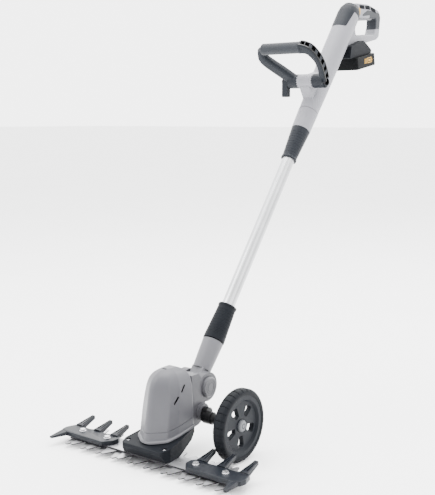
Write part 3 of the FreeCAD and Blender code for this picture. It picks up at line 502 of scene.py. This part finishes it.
def hub_mark():
    """A plain raised ring on the hub's cap."""
    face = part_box("hub_cap")[1].x
    rings = []
    for step in range(40):
        turn = 2 * math.pi * step / 40
        ring = []
        for radius, rise in ((3.6, -0.3), (3.8, 0.35), (4.8, 0.35), (5.0, -0.3)):
            ring.append((face + rise * MM, AXLE.y + radius * MM * math.cos(turn),
                         AXLE.z + radius * MM * math.sin(turn)))
        rings.append(ring)
    mark = lofted("hub_mark", rings, around=True)
    mark.data.materials.append(dark_plastic)
    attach(mark, BODY["hub_cap"])


# ---- front handle ----
def loop_point(x, across, along):
    """A point in the front handle's own plane, in millimetres from its axis."""
    up = Vector((0, math.cos(LOOP_RISE), math.sin(LOOP_RISE)))
    out = Vector((0, math.sin(LOOP_RISE), -math.cos(LOOP_RISE)))
    return Vector((0, HANDLE.y, HANDLE.z)) + (Vector((x, 0, 0)) + out * across + up * along) * MM


LEFT_ARM = [(-28, 0, 12.5), (-55, 27, 12.7), (-78, 49, 12.4), (-87, 61, 11.5), (-88, 72, 9.0),
            (-84.5, 84, 7.5)]
RIGHT_ARM = [(42, -12, 5.5), (43, -3, 7.0), (45, 12, 7.5), (47.3, 36, 6.8), (44, 58, 7.5),
             (33, 76.5, 9.5), (20, 82.5, 11.0), (11, 83, 11.5)]


def smooth_path(nodes, steps):
    """Stations on a smooth curve through the nodes: place, direction and half width."""
    stations = []
    last = len(nodes) - 1
    for index in range(last):
        a, b = Vector(nodes[max(0, index - 1)]), Vector(nodes[index])
        c, d = Vector(nodes[index + 1]), Vector(nodes[min(last, index + 2)])
        for step in range(steps + (index == last - 1)):
            t = step / steps
            place = 0.5 * (2 * b + (c - a) * t + (2 * a - 5 * b + 4 * c - d) * t * t
                           + (3 * b - a - 3 * c + d) * t ** 3)
            slope = 0.5 * ((c - a) + (4 * a - 10 * b + 8 * c - 2 * d) * t
                           + (9 * b - 3 * a - 9 * c + 3 * d) * t * t)
            stations.append((place.xy, slope.xy.normalized(), place.z))
    return stations


def handle_arm(name, nodes, thick, round_off):
    """An arm of the front handle with a flattened round section."""
    rings = []
    for place, along, half in smooth_path(nodes, 6):
        outward = Vector((along.y, -along.x))
        corner = min(round_off, half - 0.3)
        section = rounded([(-half, -thick), (half, -thick), (half, thick), (-half, thick)], corner)
        ring = []
        for out, across in section:
            spot = place + outward * out
            ring.append(loop_point(spot.x, across, spot.y))
        rings.append(ring)
    arm = lofted(name, rings)
    arm.data.materials.append(dark_plastic)
    return arm


def drum(name, x0, x1, radius, material):
    """A round boss or bore on the front handle's axis."""
    rings = []
    for x in (x0, x1):
        rings.append([loop_point(x, radius * math.sin(math.radians(7.5 * step)),
                                 radius * math.cos(math.radians(7.5 * step)))
                      for step in range(48)])
    shape = lofted(name, rings)
    shape.data.materials.append(material)
    return shape


def ladder_windows():
    """Cutters for the row of pockets in the right arm's outer side."""
    stations = smooth_path(RIGHT_ARM, 12)
    pocket = rounded([(-4.6, -5.6), (4.6, -5.6), (4.6, 5.6), (-4.6, 5.6)], 1.2, 3)
    windows = []
    for index in range(17, len(stations) - 6, 8):
        place, along, half = stations[index]
        outward = Vector((along.y, -along.x))
        rings = []
        for depth in (half - 5.0, half + 4.0):
            ring = []
            for lengthways, across in pocket:
                spot = place + along * (lengthways + across * 0.25) + outward * depth
                ring.append(loop_point(spot.x, across, spot.y))
            rings.append(ring)
        window = lofted("window", rings)
        window.data.materials.append(gloss_black)
        windows.append(window)
    return windows


def front_handle():
    """The handle's frame: two hubs, a plain left arm and a right arm with a ladder of pockets."""
    piece = handle_arm("front_handle_skin", RIGHT_ARM, 9.3, 4.5)
    arms = [handle_arm("left_arm", LEFT_ARM, 9.5, 7.5),
            drum("left_hub", -42, -19.2, 15, dark_plastic),
            drum("right_hub", 19.2, 44, 15, dark_plastic)]
    combined(piece, arms, "UNION")
    pockets = ladder_windows() + [drum("recess", 38.2, 70, 9.5, gloss_black)]
    combined(piece, pockets, "DIFFERENCE")
    softened(piece, 0.5, 2, 35)
    settle(piece, "front_handle_frame")


def rails():
    """Gloss strips that edge the ladder on the right arm's outer side."""
    for name, low, high in (("arm_rail_front", -8.2, -5.4), ("arm_rail_back", 5.4, 8.2)):
        rings = []
        for place, along, half in smooth_path(RIGHT_ARM, 6)[9:-3]:
            outward = Vector((along.y, -along.x))
            ring = []
            for across, height in ((low, -0.6), (high, -0.6), (high, 0.5), (low, 0.5)):
                spot = place + outward * (half + height)
                ring.append(loop_point(spot.x, across, spot.y))
            rings.append(ring)
        rail = lofted(name, rings)
        rail.data.materials.append(gloss_black)
        softened(rail, 0.25)
        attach(rail, "front_handle")


# ---- battery mark ----
def pack_point(x, along, up):
    """A point on the pack, in millimetres from the label's lower front corner."""
    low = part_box("battery_label")[0]
    rise = Vector((0, -PACK.z, PACK.y))
    return Vector((x, low.y, low.z)) + (PACK * (along + 3.2) + rise * up) * MM


def battery_mark():
    """A plain battery sign in raised gold where the pack's label is."""
    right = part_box("battery_label")[1].x
    outlines = [[(16, 2.5), (35, 2.5), (35, 4.3), (16, 4.3)],
                [(16, 12.7), (35, 12.7), (35, 14.5), (16, 14.5)],
                [(16, 4.4), (17.8, 4.4), (17.8, 12.6), (16, 12.6)],
                [(33.2, 4.4), (35, 4.4), (35, 12.6), (33.2, 12.6)],
                [(20.5, 6.3), (30.5, 6.3), (30.5, 10.7), (20.5, 10.7)],
                [(35.8, 6.3), (37.6, 6.3), (37.6, 10.7), (35.8, 10.7)]]
    outlines += [[(x, 3), (x + 2, 3), (x + 3.5, 14), (x + 1.5, 14)] for x in (2.0, 6.5, 11.0)]
    pieces = []
    for number, outline in enumerate(outlines):
        rings = [[pack_point(x, along, up) for along, up in rounded(outline, 0.5, 3)]
                 for x in (right - 0.7 * MM, right)]
        piece = lofted("battery_mark_%d" % number, rings)
        piece.data.materials.append(gold_accent)
        softened(piece, 0.15)
        pieces.append(piece)
    for piece in pieces:
        settle(piece, "battery_label")


# ---- crest of the rear loop ----
HANDLE_DRAWN = (524, 691)  # the front handle's axis in the design's millimetres, y and z


def housing_point(x, y, z):
    """A point given in the design's millimetres, on the rear housing."""
    drawn_y, drawn_z = HANDLE_DRAWN
    return Vector((x * MM, HANDLE.y + (y - drawn_y) * MM, HANDLE.z + (z - drawn_z) * MM))


def crest_height(y):
    """The loop's upper edge, in the design's millimetres."""
    return min(870.95 + (y - 714) / 26, 872.95 - 0.173 * (y - 766))


def crest_pads():
    """Dark pads that wrap over the crest, with thin slanting gaps between them."""
    pads = []
    for number, (low, high) in enumerate(((720, 743), (746, 770), (773, 798))):
        rings = []
        for step in range(9):
            y = low + (high - low) * step / 8
            top = crest_height(y)
            side = [(-13.25, -11.5), (-13.25, -4), (-12.1, -1.1), (-9.2, 0), (0, 0), (9.2, 0),
                    (12.1, -1.1), (13.25, -4), (13.25, -11.5), (12.4, -11.5), (12.4, -4),
                    (8.8, -1.2), (0, -1.2), (-8.8, -1.2), (-12.4, -4), (-12.4, -11.5)]
            rings.append([housing_point(x, y - 0.4 * drop, top + drop) for x, drop in side])
        pad = lofted("crest_pad_%d" % number, rings)
        pad.data.materials.append(crest_rubber)
        softened(pad, 0.3)
        pads.append(pad)
    for pad in pads:
        settle(pad, "top_grip_pads")


def housing_seam():
    """The dark parting ring around the lower barrel."""
    across = Vector((1, 0, 0))
    upward = across.cross(POLE)
    rings = []
    for step in range(48):
        turn = 2 * math.pi * step / 48
        spoke = across * math.cos(turn) + upward * math.sin(turn)
        ring = []
        for radius, station in ((21.2, 640.1), (21.75, 640.3), (21.75, 641.5), (21.2, 641.7)):
            ring.append(TILT + POLE * station * MM + spoke * radius * MM)
        rings.append(ring)
    seam = lofted("housing_seam", rings, around=True)
    seam.data.materials.append(neck_grey)
    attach(seam, "rear_housing")


motor_cover()
tyre()
hub_mark()
front_handle()
rails()
crest_pads()
housing_seam()
battery_mark()


# ---- stage ----
FLOOR_HALF = 60  # metres, so that its edge lies at the horizon
LAMPS = [  # name, place, width, power
    ("key", (-1.6, -2.2, 2.6), 2.0, 90), ("fill", (2.6, -0.6, 1.8), 2.2, 45),
    ("rim", (0.4, 2.4, 2.4), 1.6, 50), ("top", (-0.2, 0.2, 2.8), 2.0, 110)]


def soft_room():
    """A white room, brightest behind and above the tool and dimmer on the near side."""
    world = bpy.data.worlds.new("studio")
    world.use_nodes = True
    nodes, links = world.node_tree.nodes, world.node_tree.links
    coords = nodes.new("ShaderNodeTexCoord")
    near = nodes.new("ShaderNodeVectorMath")
    near.operation = "DOT_PRODUCT"
    near.inputs[1].default_value = (0.50, -0.68, -0.53)
    span = nodes.new("ShaderNodeMapRange")
    span.interpolation_type = "SMOOTHSTEP"
    span.inputs["From Min"].default_value = -0.8
    span.inputs["From Max"].default_value = 0.9
    span.inputs["To Min"].default_value = 5.0
    span.inputs["To Max"].default_value = 1.0
    links.new(coords.outputs["Generated"], near.inputs[0])
    links.new(near.outputs["Value"], span.inputs["Value"])
    nodes["Background"].inputs[0].default_value = (1, 1, 1, 1)
    links.new(span.outputs[0], nodes["Background"].inputs[1])
    return world


def studio():
    floor_mesh = bpy.data.meshes.new("floor")
    half = FLOOR_HALF
    floor_mesh.from_pydata([(-half, -half, 0), (half, -half, 0), (half, half, 0), (-half, half, 0)],
                           [], [(0, 1, 2, 3)])
    floor = add_object("floor", floor_mesh)
    floor.location.z = -0.0005
    material, nodes, links, shader = new_material("floor_paint")
    wide = noise(nodes, links, 2, 2)
    links.new(tinted(nodes, links, wide, (0.96, 0.96, 0.96), 0.01), shader.inputs["Base Color"])
    shader.inputs["Roughness"].default_value = 0.9
    floor_mesh.materials.append(material)
    bpy.context.scene.world = soft_room()
    for name, place, size, power in LAMPS:
        light = bpy.data.lights.new(name, "AREA")
        light.size = size
        light.energy = power
        lamp = bpy.data.objects.new(name, light)
        lamp.location = place
        aim = Vector((0, 0, 0.4)) - Vector(place)
        lamp.rotation_euler = aim.to_track_quat("-Z", "Y").to_euler()
        bpy.context.scene.collection.objects.link(lamp)


def camera():
    """The photograph's viewpoint: front right, a little above the tool."""
    lens = bpy.data.cameras.new("camera")
    lens.lens = 65.45
    lens.sensor_width = 36
    eye = bpy.data.objects.new("camera", lens)
    eye.location = TILT + Vector((1.0365, -1.2823, 0.4951))
    eye.rotation_euler = (math.radians(90 - 8.1), 0, math.radians(37.5))
    bpy.context.scene.collection.objects.link(eye)
    bpy.context.scene.camera = eye


studio()
camera()
